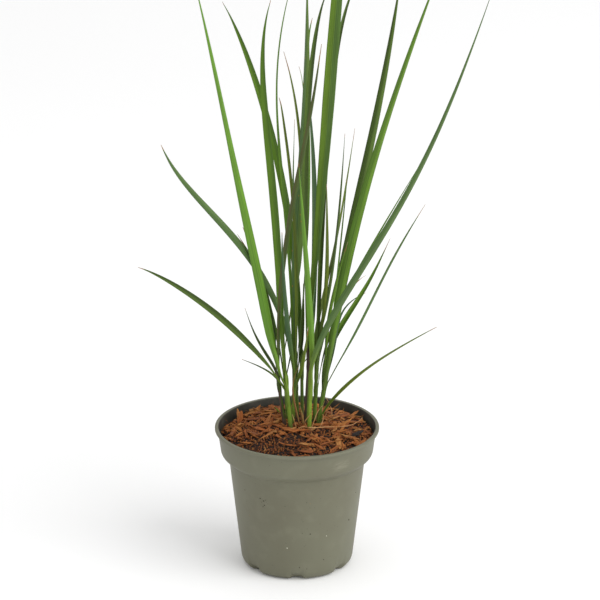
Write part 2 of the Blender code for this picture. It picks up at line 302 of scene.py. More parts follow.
# Painted shade: the inside of the wall is darkened, standing in for the shade under the lip and the
# leaves; its faces look towards the axis
outwards = add_node(tree, "ShaderNodeVectorMath", (place, (1.0, 1.0, 0.0)), operation="MULTIPLY")
facing = add_node(
    tree, "ShaderNodeVectorMath",
    (outwards, add_node(tree, "ShaderNodeNewGeometry").outputs["Normal"]), operation="DOT_PRODUCT",
)
inner_wall_painted_shade = add_node(tree, "ShaderNodeMapRange", (facing.outputs["Value"], -0.05, -0.02, 0.95, 0.0))
ground = add_node(tree, "ShaderNodeMix", (inner_wall_painted_shade, tones, linear("#31302a")), data_type="RGBA")
dust_patch = add_node(tree, "ShaderNodeTexNoise", (place, 1 / (16 * MM), 6.0))
dust = add_node(tree, "ShaderNodeMapRange", (dust_patch, 0.52, 0.80, 0.0, 0.22))
dusty = add_node(tree, "ShaderNodeMix", (dust, ground, linear("#858370")), data_type="RGBA")
# Fine dirt: grains near 0.5 mm, 7 mm apart, drawn at 1 mm so that they show
grit_cell = add_node(
    tree, "ShaderNodeTexVoronoi", {"Vector": place, "Scale": 1 / (7 * MM), "Randomness": 1.0}
)
grit = add_node(tree, "ShaderNodeMapRange", (grit_cell, 0.05, 0.09, 0.45, 0.0))
dirty = add_node(tree, "ShaderNodeMix", (grit, dusty, linear("#433f33")), data_type="RGBA")
# A pale rubbed patch of fine sideways scratches on the band, to the right of the front
scuff_way = add_node(tree, "ShaderNodeVectorMath", (place, scuff_centre), operation="SUBTRACT")
scuff_flat = add_node(
    tree, "ShaderNodeVectorMath", (scuff_way, (1.0, 1.0, 1.9)), operation="MULTIPLY"
)
scuff_far = add_node(tree, "ShaderNodeVectorMath", {0: scuff_flat}, operation="LENGTH")
scuff_zone = add_node(
    tree, "ShaderNodeMapRange", (scuff_far.outputs["Value"], 0.006, 0.014, 0.36, 0.0)
)
scuff_drawn = add_node(
    tree, "ShaderNodeVectorMath", (scuff_way, (0.22, 0.22, 1.0)), operation="MULTIPLY"
)
scuff_grain = add_node(tree, "ShaderNodeTexNoise", (scuff_drawn, 1 / (1.6 * MM), 3.0))
scuff_broken = add_node(tree, "ShaderNodeMapRange", (scuff_grain, 0.38, 0.72))
scuff = add_node(tree, "ShaderNodeMath", (scuff_zone, scuff_broken), operation="MULTIPLY")
scuffed = add_node(tree, "ShaderNodeMix", (scuff, dirty, linear("#9a9682")), data_type="RGBA")
shine = add_node(tree, "ShaderNodeMapRange", (dust_patch, 0.0, 1.0, 0.46, 0.62))
# The stipple is near 0.15 mm on the tool: drawn at 0.9 mm
stipple = add_node(tree, "ShaderNodeTexNoise", (place, 1 / (0.9 * MM), 2.0))
stippled = add_node(
    tree, "ShaderNodeBump", {"Strength": 0.25, "Distance": 0.1 * MM, "Height": stipple}
)
feed(shader, {"Base Color": scuffed, "Roughness": shine, "Normal": stippled})

pot.data.materials.clear()
pot.data.materials.append(plastic)
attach(pot, "root")
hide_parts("pot")

# ---------------------------------------------------------------------------------------------
# Splashed soil: a few dry crumbs of compost and grains of pale grit that stick to the outside of
# the wall, most of them in one cluster on the left of the front.

splashes = (  # degrees to the right of the front, height in mm, size in mm, how pale
    (-34.0, 92.5, 1.4, 0), (-30.5, 90.5, 1.6, 0), (-30.0, 85.5, 1.5, 0),
    (-31.5, 83.5, 1.2, 0), (-28.5, 92.0, 1.0, 0), (-26.5, 88.0, 0.7, 0),
    (-32.8, 88.5, 0.8, 0), (-10.5, 88.0, 0.8, 0), (8.5, 92.5, 0.9, 0),
    (11.5, 91.0, 0.9, 1), (5.5, 70.0, 0.8, 0), (57.0, 59.5, 1.6, 0),
    (5.0, 56.5, 1.0, 0), (12.5, 55.0, 1.4, 0), (29.0, 50.0, 1.2, 2),
    (-9.5, 38.7, 1.5, 2), (27.5, 22.5, 1.3, 0), (2.5, 16.0, 1.2, 0),
    (10.0, 14.0, 1.0, 0), (-52.0, 96.0, 1.0, 0), (-49.0, 68.0, 0.9, 1),
    (64.0, 88.0, 0.9, 0), (120.0, 70.0, 1.2, 0), (165.0, 40.0, 1.4, 0),
    (200.0, 84.0, 1.1, 0), (250.0, 55.0, 1.3, 0),
)
outer_line = [spot for spot in pot_outline[: len(pot_outline) // 2] if spot.x > foot_radius]
line_heights = [spot.y for spot in outer_line]
line_radii = [spot.x for spot in outer_line]
splash_shape = bmesh.new()
paleness = splash_shape.verts.layers.float.new("pale")
for number, (right, height, size, pale) in enumerate(splashes):
    azimuth = FRONT + math.radians(right)
    radius = np.interp(height, line_heights, line_radii) + size * 0.12
    middle = Vector(plain_point(radius, azimuth, height)) * MM
    crumb = bmesh.ops.create_icosphere(splash_shape, subdivisions=2, radius=size / 2 * MM)["verts"]
    for vertex in crumb:
        bump = 1 + 0.35 * noise.noise(vertex.co / (0.5 * MM) + Vector((number, 0, 0)))
        flat = Vector((vertex.co.x * 0.45, vertex.co.y, vertex.co.z * 0.8)) * bump
        vertex.co = middle + Matrix.Rotation(azimuth, 3, "Z") @ flat
        vertex[paleness] = pale / 2
splash_mesh = as_mesh(splash_shape, "splashed_soil")
splash_mesh.shade_smooth()
splash = shown("splashed_soil", splash_mesh)

# Dried compost and grit: dull, dark brown to chalky
soil, tree, shader = start_material("dried_soil_crumb", {"Metallic": 0.0, "Roughness": 0.9})
pale = add_node(tree, "ShaderNodeAttribute", attribute_name="pale").outputs["Fac"]
crumb_tone = add_node(
    tree, "ShaderNodeValToRGB", {"Fac": pale},
    stops=((0.0, "#3f3a2e"), (1.0, "#b9b6a4"), (0.5, "#8a7048")),
)
feed(shader, {"Base Color": crumb_tone})
splash_mesh.materials.append(soil)
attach(splash, "root")

# ---------------------------------------------------------------------------------------------
# The growing medium: a root ball of coir and peat that fills the pot to below the band. Only the
# drain slots show it, so its CAD solid stays as it is.

# Moist coir and peat: nearly black brown with paler fibres, wholly dull
compost, tree, shader = start_material(
    "coir_and_peat_compost", {"Metallic": 0.0, "Roughness": 0.95}
)
place = add_node(tree, "ShaderNodeTexCoord").outputs["Object"]
peat = add_node(tree, "ShaderNodeTexNoise", (place, 1 / (4 * MM), 8.0))
peat_tone = add_node(
    tree, "ShaderNodeValToRGB", {"Fac": peat},
    stops=((0.35, "#1d1310"), (0.72, "#6b4126"), (0.55, "#3a2217")),
)
peat_bump = add_node(
    tree, "ShaderNodeBump", {"Strength": 0.8, "Distance": 1.5 * MM, "Height": peat}
)
feed(shader, {"Base Color": peat_tone, "Normal": peat_bump})
root_ball = frame["nodes"]["growing_medium"]
root_ball.material_slots[0].material = compost

# ---------------------------------------------------------------------------------------------
# The mulch: coconut chips, splinters of bark, crumbs and loose fibres, tipped over the growing
# medium in a low mound. Its dark bed is one solid, and the loose bits are strewn over that.

mound_radii = (0.0, 8.0, 25.0, 50.0, 70.0, 79.0)
mound_heights = (152.0, 152.0, 151.4, 149.0, 146.0, 142.0)
bed_drop = 4.0  # how far the bed lies under the tips of the chips
bed_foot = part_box("chip_mulch")[0].z / MM
bed_radius = 79.0
shoot_room = 3.2  # no bit lies nearer to a shoot's middle than this
fine_centre = (-24, -50)  # where the mulch is crumbly and its bits get painted shade, at the front left
fine_radii = (44, 27)


def rough(x, y, size, octaves=4):
    """Uneven ground between -1 and 1, with lumps of this size in mm."""
    return noise.fractal(Vector((x / size, y / size, 0.37)), 0.8, 2.1, octaves)


def bed_point(radius, azimuth, height):
    x, y, z = plain_point(radius, azimuth, height)
    if height > bed_foot + 1:
        z = np.interp(radius, mound_radii, mound_heights) - bed_drop + 1.3 * rough(x, y, 9.0)
    return (x, y, float(z))


bed_outline = [Vector((0, bed_foot)), Vector((78.7, bed_foot))]
bed_outline += [Vector((bed_radius - 1.6 * k, bed_foot + 3)) for k in range(49)]
bed_outline += [Vector((0, bed_foot + 3))]
bed = shown("mulch_bed", turned("mulch_bed", bed_outline, 180, bed_point))


def merged(node):
    """A CAD node's mesh with its loose triangles joined, as a bmesh of its own."""
    shape = bmesh.new()
    shape.from_mesh(node.data)
    bmesh.ops.remove_doubles(shape, verts=shape.verts, dist=1e-6)
    return shape


def ends_of(node):
    """Foot and top of a shoot: the middle of each end ring, and its radius."""
    points = np.array([vertex.co for vertex in node.data.vertices])
    found = []
    for level in (points[:, 2].min(), points[:, 2].max()):
        ring = points[abs(points[:, 2] - level) < 1e-5]
        middle = (ring.min(0) + ring.max(0)) / 2
        found.append((middle, (ring[:, 0].max() - ring[:, 0].min()) / 2))
    return found


shoots = {
    name: ends_of(node) for name, node in frame["nodes"].items() if name.startswith("tiller")
}
surface_level = 148.0 * MM
shoot_places = []
for (foot, _), (top, _) in shoots.values():
    share = (surface_level - foot[2]) / (top[2] - foot[2])
    shoot_places.append((foot + (top - foot) * share)[:2])

def store(mesh, name, values):
    """Keeps a number or a vector for each point of a mesh, under this name."""
    values = np.asarray(values, np.float32)
    kind, field = ("FLOAT_VECTOR", "vector") if values.ndim == 2 else ("FLOAT", "value")
    mesh.attributes.new(name, kind, "POINT").data.foreach_set(field, values.ravel())


# The open top of the bed, which the loose bits are strewn over. "room" is the share of them that
# finds a place there, "gap" is the way to the wall, and "fine" is where the mulch is crumbly and
# where the bits are darkened with painted shade.
strewn = bmesh.new()
strewn.from_mesh(bed.data)
side_faces = [f for f in strewn.faces if f.normal.z < 0.2]
bmesh.ops.delete(strewn, geom=side_faces, context="FACES")
surface_mesh = as_mesh(strewn, "mulch_surface")
room, gap, fine = [], [], []
for vertex in surface_mesh.vertices:
    x, y = vertex.co.x / MM, vertex.co.y / MM
    from_wall = bed_radius - math.hypot(x, y)
    from_shoot = min(math.dist(vertex.co[:2], spot) for spot in shoot_places) / MM
    room.append(from_shoot > shoot_room)
    gap.append((from_wall + 1.0) * MM)
    off_x, off_y = x - fine_centre[0], y - fine_centre[1]
    off_patch = math.hypot(off_x / fine_radii[0], off_y / fine_radii[1])
    crumbly = off_patch + 0.35 * rough(x, y, 16.0)
    fine.append(min(max(2.4 - 2.0 * crumbly, 0.0), 1.0))
for name, values in (("room", room), ("gap", gap), ("fine", fine)):
    store(surface_mesh, name, values)
surface = shown("mulch_surface", surface_mesh)


def splinter(name, length, width, thickness, sections, sides, seed):
    """A torn chip or a fibre: a bent bar, narrow at both ends, with "grain" for its own axes."""
    draw = np.random.default_rng(seed)
    bend = draw.uniform(-1.0, 1.0, 2) * min(0.16, 0.01 * length / width)
    twist = draw.uniform(-0.7, 0.7)
    shape = bmesh.new()
    grain = shape.verts.layers.float_vector.new("grain")
    rings = []
    for k in range(sections):
        t = k / (sections - 1) * 2 - 1
        full = (1 - abs(t) ** draw.uniform(2.5, 6.0)) * 0.75 + 0.25
        turn = twist * t
        ring = []
        for j in range(sides):
            angle = 2 * math.pi * j / sides
            jag = draw.uniform(0.72, 1.2)
            y = width / 2 * full * jag * math.cos(angle)
            z = thickness / 2 * full * jag * math.sin(angle)
            x = length / 2 * (t + draw.uniform(-0.06, 0.06))
            turned_y = y * math.cos(turn) - z * math.sin(turn) + bend[0] * length * t * t
            turned_z = y * math.sin(turn) + z * math.cos(turn) + bend[1] * length * t * t
            vertex = shape.verts.new(Vector((x, turned_y, turned_z)) * MM)
            vertex[grain] = Vector((x, y, z)) * MM
            ring.append(vertex)
        rings.append(ring)
    for low, high in zip(rings, rings[1:]):
        for j in range(sides):
            after = (j + 1) % sides
            shape.faces.new((low[j], low[after], high[after], high[j]))
    shape.faces.new(rings[0][::-1])
    shape.faces.new(rings[-1])
    bmesh.ops.recalc_face_normals(shape, faces=shape.faces)
    return as_mesh(shape, name)


def start_tree(name, inputs, output):
    """A geometry tree with named inputs of these kinds and one output, and the inputs' sockets."""
    tree = bpy.data.node_groups.new(name, "GeometryNodeTree")
    for label, kind in inputs.items():
        tree.interface.new_socket(label, in_out="INPUT", socket_type=f"NodeSocket{kind}")
    tree.interface.new_socket(output, in_out="OUTPUT", socket_type="NodeSocketGeometry")
    return tree, add_node(tree, "NodeGroupInput").outputs


def end_tree(tree, output, geometry, material):
    """Makes the tree's instances real, sets their material and hands them to its output."""
    real = add_node(tree, "GeometryNodeRealizeInstances", {"Geometry": geometry})
    painted = add_node(tree, "GeometryNodeSetMaterial", {"Geometry": real, "Material": material})
    add_node(tree, "NodeGroupOutput", {output: painted})


def use_tree(piece, tree, values):
    """Puts a node tree on a piece, with its named inputs set before the piece is evaluated."""
    modifier = piece.modifiers.new(tree.name, "NODES")
    modifier.node_group = tree
    for socket in tree.interface.items_tree:
        if socket.name in values:
            modifier[socket.identifier] = values[socket.name]


# Strews one of several shapes over a surface: each bit lies at its own height, turn, tilt and
# size, and carries a random "tone"
strew_values = (
    "Bits per square metre", "Share on fine ground", "Smallest", "Largest", "Half length", "Tilt",
    "Lowest", "Highest",
)
strew, given = start_tree(
    "strew_over_surface",
    {"Surface": "Geometry", "Shapes": "Collection", **dict.fromkeys(strew_values, "Float")}
    | {"Seed": "Int", "Material": "Material"},
    "Bits",
)
seed = given["Seed"]
has_room, is_fine, to_wall = (
    add_node(strew, "GeometryNodeInputNamedAttribute", {"Name": name}, data_type="FLOAT")
    for name in ("room", "fine", "gap")
)
share = add_node(
    strew, "ShaderNodeMix", (is_fine, 1.0, given["Share on fine ground"]), data_type="FLOAT"
)
density = add_node(
    strew, "ShaderNodeMath", (given["Bits per square metre"], share), operation="MULTIPLY"
)
density = add_node(strew, "ShaderNodeMath", (density, has_room), operation="MULTIPLY")
spots = add_node(
    strew, "GeometryNodeDistributePointsOnFaces",
    {"Mesh": given["Surface"], "Density": density, "Seed": seed},
)
tilt_low = add_node(strew, "ShaderNodeMath", (given["Tilt"], -1.0), operation="MULTIPLY")
turn_low = add_node(strew, "ShaderNodeCombineXYZ", (tilt_low, tilt_low, 0.0))
turn_high = add_node(strew, "ShaderNodeCombineXYZ", (given["Tilt"], given["Tilt"], 2 * math.pi))
drawn = {}
for name, low, high, kind in (
    ("rise", given["Lowest"], given["Highest"], "FLOAT"),
    ("turn", turn_low, turn_high, "FLOAT_VECTOR"),
    ("size", given["Smallest"], given["Largest"], "FLOAT"),
    ("tone", 0.0, 1.0, "FLOAT"),
):
    limits = {"Min": low, "Max": high, "Seed": seed}
    drawn[name] = add_node(strew, "FunctionNodeRandomValue", limits, data_type=kind)
offset = add_node(strew, "ShaderNodeCombineXYZ", {"Z": drawn["rise"]})
lifted = add_node(strew, "GeometryNodeSetPosition", {"Geometry": spots, "Offset": offset})
fitting = add_node(strew, "ShaderNodeMath", (to_wall, given["Half length"]), operation="DIVIDE")
size = add_node(strew, "ShaderNodeMath", (drawn["size"], fitting), operation="MINIMUM")
shapes = add_node(
    strew, "GeometryNodeCollectionInfo",
    {"Collection": given["Shapes"], "Separate Children": True, "Reset Children": True},
)
placed = add_node(
    strew, "GeometryNodeInstanceOnPoints",
    {"Points": lifted, "Instance": shapes, "Pick Instance": True, "Scale": size}
    | {"Rotation": drawn["turn"]},
)
toned = add_node(
    strew, "GeometryNodeStoreNamedAttribute",
    {"Geometry": placed, "Name": "tone", "Value": drawn["tone"]}, data_type="FLOAT",
    domain="INSTANCE",
)
end_tree(strew, "Bits", toned, given["Material"])

# Coconut husk and bark: torn along the grain, rust to tan, dry and dull. Its darkest tones, almost
# black, are partly dark crumbs and partly painted shade in the hollows between the bits.
# The grain is 0.2 to 0.4 mm and is drawn at 0.7 mm.
husk, tree, shader = start_material("torn_coconut_husk", {"Metallic": 0.0, "Roughness": 0.85})
own_tone = add_node(tree, "ShaderNodeAttribute", attribute_name="tone").outputs["Fac"]
fine_here = add_node(tree, "ShaderNodeAttribute", attribute_name="fine").outputs["Fac"]
along_grain = add_node(tree, "ShaderNodeAttribute", attribute_name="grain").outputs["Vector"]
# The lowest stops, almost black, are partly painted shade between the bits and partly dark crumbs
husk_tone = add_node(
    tree, "ShaderNodeValToRGB", {"Fac": own_tone},
    stops=(
        (0.0, "#130b08"), (1.0, "#a8743c"), (0.24, "#2f1a0f"), (0.46, "#76401a"), (0.78, "#9a551d"),
        (0.94, "#a5672a"),
    ),
)
stretched = add_node(tree, "ShaderNodeMapping", {"Vector": along_grain, "Scale": (1 / 7, 1.0, 1.0)})
fibre_lines = add_node(tree, "ShaderNodeTexNoise", (stretched, 1 / (0.7 * MM), 4.0))
line_shade = add_node(tree, "ShaderNodeMapRange", (fibre_lines, 0.3, 0.7, 0.5, 1.2))
# Painted shade: bits on the crumbly ground at the front left are darkened by up to a quarter
fine_patch_painted_shade = add_node(tree, "ShaderNodeMapRange", (fine_here, 0.0, 1.0, 1.0, 0.75))
shade = add_node(tree, "ShaderNodeMath", (line_shade, fine_patch_painted_shade), operation="MULTIPLY")
husk_colour = add_node(tree, "ShaderNodeVectorMath", (husk_tone, shade), operation="SCALE")
husk_bump = add_node(
    tree, "ShaderNodeBump", {"Strength": 0.7, "Distance": 0.4 * MM, "Height": fibre_lines}
)
feed(shader, {"Base Color": husk_colour, "Normal": husk_bump})

# The bed: the same husk ground to crumbs, darker as it holds water and lies in shade
crumbs, tree, shader = start_material("ground_coconut_husk", {"Metallic": 0.0, "Roughness": 0.95})
place = add_node(tree, "ShaderNodeTexCoord").outputs["Object"]
speck = add_node(
    tree, "ShaderNodeTexVoronoi", {"Vector": place, "Scale": 1 / (2.2 * MM), "Randomness": 1.0}
)
speck_tone = add_node(
    tree, "ShaderNodeValToRGB", {"Fac": speck.outputs["Color"]},
    stops=((0.2, "#0e0807"), (0.85, "#3c2213"), (0.55, "#1d110b")),
)
speck_bump = add_node(
    tree, "ShaderNodeBump", {"Strength": 1.0, "Distance": 1.0 * MM, "Height": speck}
)
feed(shader, {"Base Color": speck_tone, "Normal": speck_bump})
bed.data.materials.append(crumbs)
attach(bed, "root")
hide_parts("chip_mulch")

# Each kind of bit: (length, width, thickness) of its shapes in mm, their sections and sides, how
# they are strewn in the order of strew_values, and the seed
loose_bits = {
    "husk_chips": (
        [(11, 3.6, 1.8), (15, 3.0, 1.5), (8, 4.4, 1.9)]
        + [(17, 3.8, 1.5), (7, 3.0, 2.0), (12, 5.2, 1.5)],
        (5, 5),
        (44000.0, 0.03, 0.45, 1.35, 8.0 * MM, 0.55, -1.5 * MM, 3.4 * MM),
        11,
    ),
    "husk_crumbs": (
        [(2.4, 1.7, 1.3), (3.2, 1.5, 1.1), (1.8, 1.6, 1.4)],
        (3, 4),
        (130000.0, 1.7, 0.5, 1.3, 1.5 * MM, 1.2, -0.3 * MM, 2.6 * MM),
        23,
    ),
    "husk_fibres": (
        [(15, 0.55, 0.5), (21, 0.5, 0.45), (11, 0.6, 0.5)],
        (7, 3),
        (26000.0, 0.6, 0.5, 1.2, 10.0 * MM, 0.42, 1.0 * MM, 4.0 * MM),
        37,
    ),
}
for name, (sizes, (sections, sides), strewn_as, bit_seed) in loose_bits.items():
    shelf = bpy.data.collections.new(name + "_shapes")
    bpy.context.scene.collection.children.link(shelf)
    for number, size in enumerate(sizes):
        shape_mesh = splinter(f"{name}_{number}", *size, sections, sides, seed=number + len(name))
        shelf.objects.link(bpy.data.objects.new(f"{name}_{number}", shape_mesh))
    bits = shown(name, surface.data)
    values = dict(zip(strew_values, strewn_as))
    use_tree(bits, strew, values | {"Shapes": shelf, "Seed": bit_seed, "Material": husk})
    keep_evaluated(bits)
    for shape_object in list(shelf.objects):
        bpy.data.objects.remove(shape_object)
    bpy.data.collections.remove(shelf)
    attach(bits, "root")
bpy.data.objects.remove(surface)

# The large chips that lie on top: x, y, height over the bed's drop, length, width, thickness in
# mm, turn and pitch in degrees, and tone
large_chips = (
    (-1, -15, 1.8, 25, 5.0, 2.0, -7, 2, 0.80),
    (9, -60, 1.5, 17, 8.0, 2.0, -24, 8, 0.62),
    (23, -50, 1.6, 24, 3.6, 1.6, -62, 4, 0.78),
    (32, -40, 1.4, 21, 3.0, 1.5, 38, -3, 0.66),
    (-59, 25, 4.5, 14, 6.0, 1.4, 70, 58, 0.74),
    (63, -13, 2.4, 14, 7.0, 2.2, 35, 10, 0.05),
    (66, -34, 2.2, 19, 6.5, 1.6, 52, 22, 0.82),
    (60, 18, 2.2, 17, 4.2, 1.8, -30, 6, 0.60),
    (-26, 8, 1.6, 26, 3.2, 1.5, 28, 4, 0.86),
    (-10, -48, 1.8, 22, 2.6, 1.3, -32, 3, 0.80),
    (45, 32, 2.0, 20, 6.5, 2.0, 12, 8, 0.58),
    (30, 42, 1.8, 18, 5.0, 2.0, -40, 6, 0.55),
    (-38, 45, 1.6, 19, 5.0, 1.8, 24, 6, 0.60),
    (-14, 56, 1.7, 22, 6.0, 2.0, -12, 7, 0.52),
    (12, 60, 1.8, 18, 5.0, 1.8, 48, 7, 0.64),
    (50, -25, 1.5, 22, 3.0, 1.6, -20, 3, 0.72),
    (14, -34, 1.6, 17, 3.6, 1.5, 55, 5, 0.70),
    (-48, -14, 1.6, 18, 4.4, 1.6, -48, 6, 0.48),
    (-66, -6, 1.8, 16, 4.0, 1.6, 80, 9, 0.58),
    (-44, 22, 1.4, 22, 3.4, 1.5, 8, 3, 0.44),
)
chip_shape = bmesh.new()
for number, (x, y, rise, length, width, thickness, turn, pitch, tone) in enumerate(large_chips):
    chip_mesh = splinter("large_chip", length, width, thickness, 9, 8, seed=100 + number)
    store(chip_mesh, "tone", [tone] * len(chip_mesh.vertices))
    level = np.interp(math.hypot(x, y), mound_radii, mound_heights) - bed_drop + 2.0 + rise
    leaned = Matrix.Rotation(math.radians(-pitch), 4, "Y")
    spin = Matrix.Rotation(math.radians(turn), 4, "Z") @ leaned
    chip_mesh.transform(Matrix.Translation(Vector((x, y, level)) * MM) @ spin)
    chip_shape.from_mesh(chip_mesh)
    bpy.data.meshes.remove(chip_mesh)
large_mesh = as_mesh(chip_shape, "large_husk_chips")
large_mesh.materials.append(husk)
large = shown("large_husk_chips", large_mesh)
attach(large, "root")

# ---------------------------------------------------------------------------------------------
# The shoots: each is a bundle of leaf sheaths rolled round each other, green above and stained
# purple-brown at the foot. The free edge of the outermost sheath shows as a step down its length.

sheath_looks = {  # stain at the foot, stain and painted shade up its left side, yellowness, azimuth of the edge
    "tiller_01": (0.9, 0.95, 0.0, 250),
    "tiller_02": (0.5, 0.15, 0.7, 300),
    "tiller_03": (0.5, 0.2, 0.6, 230),
    "tiller_04": (0.8, 0.3, 0.2, 280),
    "tiller_05": (0.7, 0.3, 0.15, 240),
    "tiller_06": (0.6, 0.95, 0.5, 268),
    "tiller_07": (0.35, 0.1, 1.0, 245),
    "tiller_08": (0.5, 0.3, 0.5, 290),
    "tiller_09": (0.5, 0.35, 0.4, 255),
    "tiller_10": (0.6, 0.3, 0.4, 220),
}
sheath_sides = 36
sheath_rings = 36
edge_twist = 0.9  # how far the free edge turns round the shoot in 0.1 m
sheath_step = 0.14  # the step at the free edge, over the radius
sheath_fullness = 0.8  # of the CAD solid's radius


def shoot_at(name, height):
    """The middle and the radius of a shoot at a height."""
    (foot, low_radius), (top, top_radius) = shoots[name]
    middle = foot + (top - foot) * (height - foot[2]) / (top[2] - foot[2])
    share = min(max((height - surface_level) / (top[2] - surface_level), 0.0), 1.0)
    return middle, (low_radius + (top_radius - low_radius) * share) * sheath_fullness


def smooth(value):
    value = np.clip(value, 0.0, 1.0)
    return value * value * (3 - 2 * value)


def sheath_colour(tree, streaks, stain, yellow):
    """The streaked green of a sheath, with purple-brown where it is stained and where it has
    painted shade.
    """
    greens = add_node(
        tree, "ShaderNodeValToRGB", {"Fac": yellow},
        stops=((0.0, "#475d20"), (1.0, "#7f9c34"), (0.4, "#5a7626")),
    )
    streak_shade = add_node(tree, "ShaderNodeMapRange", (streaks, 0.3, 0.7, 0.72, 1.2))
    green = add_node(tree, "ShaderNodeVectorMath", (greens, streak_shade), operation="SCALE")
    purples = add_node(
        tree, "ShaderNodeValToRGB", {"Fac": streaks}, stops=((0.3, "#3c2e29"), (0.7, "#5f4d3f"))
    )
    stain_edge = add_node(tree, "ShaderNodeMath", (streaks, -0.5), operation="ADD")
    stain_broken = add_node(
        tree, "ShaderNodeMath", (stain_edge, 0.9, stain), operation="MULTIPLY_ADD"
    )
    stain_share = add_node(tree, "ShaderNodeMapRange", (stain_broken, 0.25, 0.75))
    return add_node(tree, "ShaderNodeMix", (stain_share, green, purples), data_type="RGBA")


def stain_and_shade_at(name, turn, level):
    """How stained a shoot is on the side at this azimuth, at this height, with painted shade up its
    left side.
    """
    foot_stain, left_stain_and_shade = sheath_looks[name][:2]
    low_stain = foot_stain * (1 - smooth((level - surface_level) / (22 * MM)))
    # Painted shade: the left side, turned from the light, takes the purple-brown as well
    return max(low_stain, left_stain_and_shade * smooth(0.5 - 1.3 * math.cos(turn)))


# Living leaf sheath: waxy and faintly ribbed lengthwise, green where light reaches it, and
# purple-brown where the plant is stressed, and up its left side also as painted shade. The ribs
# are 0.3 mm apart and drawn at 0.6 mm.
sheath, tree, shader = start_material(
    "ribbed_leaf_sheath", {"Metallic": 0.0, "Specular IOR Level": 0.3, "Roughness": 0.5}
)
stain = add_node(tree, "ShaderNodeAttribute", attribute_name="stain").outputs["Fac"]
yellow = add_node(tree, "ShaderNodeAttribute", attribute_name="yellow").outputs["Fac"]
rib_place = add_node(tree, "ShaderNodeAttribute", attribute_name="rib").outputs["Vector"]
streaks = add_node(tree, "ShaderNodeTexNoise", (rib_place, 1.0, 3.0))
streaked = sheath_colour(tree, streaks, stain, yellow)
rib_bump = add_node(
    tree, "ShaderNodeBump", {"Strength": 0.5, "Distance": 0.2 * MM, "Height": streaks}
)
feed(shader, {"Base Color": streaked, "Normal": rib_bump})

for name, (*_, yellowness, edge) in sheath_looks.items():
    (foot, _), (top, _) = shoots[name]
    levels = np.linspace(foot[2], top[2] + 4 * MM, sheath_rings)
    points, stain_and_shade_values, ribs = [], [], []
    for level in levels:
        middle, radius = shoot_at(name, level)
        closing = smooth((top[2] + 4.5 * MM - level) / (14 * MM))
        radius *= 0.25 + 0.75 * closing
        drift = math.radians(edge) + edge_twist * (level - foot[2]) / 0.1
        for k in range(sheath_sides):
            share = k / (sheath_sides - 1)
            turn = drift + 2 * math.pi * k / sheath_sides
            reach = radius * (1 + sheath_step * (share - 0.5))
            spot = middle + reach * np.array([math.cos(turn), math.sin(turn), 0])
            points.append(spot)
            stain_and_shade_values.append(stain_and_shade_at(name, turn, level))
            ribs.append((turn * radius / (0.6 * MM), level / (30 * MM), edge))
    faces = []
    for ring in range(len(levels) - 1):
        for k in range(sheath_sides):
            after = (k + 1) % sheath_sides
            low = ring * sheath_sides
            high = low + sheath_sides
            faces.append((low + k, low + after, high + after, high + k))
    faces.append(tuple(range(sheath_sides))[::-1])
    faces.append(tuple(range(len(points) - sheath_sides, len(points))))
    shoot_mesh = mesh_from(name, points, [], faces)
    store(shoot_mesh, "stain", stain_and_shade_values)
    store(shoot_mesh, "yellow", [yellowness] * len(points))
    store(shoot_mesh, "rib", ribs)
    shoot_mesh.shade_smooth()
    shoot_mesh.set_sharp_from_angle(angle=math.radians(50))
    shoot_mesh.materials.append(sheath)
    shoot = shown(name.replace("tiller", "rolled_sheaths"), shoot_mesh)
    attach(shoot, "root")
    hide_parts(name)

# ---------------------------------------------------------------------------------------------
# The leaves: long blades with a keel under the midrib, each one piece with the sheath that holds
# it to its shoot. The sheath opens into a narrow channel, and that flattens as the blade widens.

leaf_thickness = 0.28 * MM
station_gap = 4.0 * MM
leaf_columns = 11
ripple_length = 30.0 * MM  # of the waves along a leaf's edges, over 2 pi
sheath_length = 24.0 * MM
sheath_gap = 2.5 * MM
sheath_wrap = 2.1  # half the angle that a sheath holds its shoot by
sheath_stand = 0.45 * MM  # how far it stands off the shoot
sheath_sink = 0.9 * MM  # how much closer it lies at its lower edge
channel_curl = 1.15  # half the angle of the channel at the foot of a narrow blade
tip_curl = 1.1  # and of any blade at its tip, which closes over the last tip_closing
tip_closing = 60.0 * MM
opening = 55.0 * MM  # how far up a narrow blade it takes to flatten, and a broad one takes longer


def rings_from(tip):
    """The rings of points of a blade, counted along its edges from the one that may be its tip."""
    rings, seen = [[tip]], {tip}
    while rings[-1]:
        ring = {edge.other_vert(v) for v in rings[-1] for edge in v.link_edges} - seen
        seen |= ring
        rings.append(sorted(ring, key=lambda vertex: vertex.index))
    return rings[:-1]


def spread(rings):
    """How far the points of the rings lie apart; it is least when counted from the true tip."""
    if any(len(ring) != 4 for ring in rings[1:]):
        return math.inf
    return sum((a.co - b.co).length for ring in rings for a in ring for b in ring)


def read_blade(node):
    """A blade's middle line from foot to tip, where its hollow side looks, and half its width."""
    shape = merged(node)
    rings = min((rings_from(vertex) for vertex in shape.verts), key=spread)
    tip = rings[0][0]
    middles, looks, halves = [], [], []
    for ring in rings[:0:-1]:
        points = [np.array(vertex.co) for vertex in ring]
        pairs = [(0, 1, 2, 3), (0, 2, 1, 3), (0, 3, 1, 2), (1, 2, 0, 3), (1, 3, 0, 2), (2, 3, 0, 1)]
        a, b, c, d = max(pairs, key=lambda p: np.linalg.norm(points[p[0]] - points[p[1]]))
        keel = (points[c] + points[d]) / 2
        middles.append(keel)
        looks.append(keel - (points[a] + points[b]) / 2)
        halves.append(np.linalg.norm(points[a] - points[b]) / 2)
    middles.append(np.array(tip.co))
    looks.append(looks[-1])
    halves.append(0.12 * MM)
    shape.free()
    return np.array(middles), np.array(looks), np.array(halves)


def unit(vectors):
    return vectors / np.linalg.norm(vectors, axis=-1, keepdims=True)


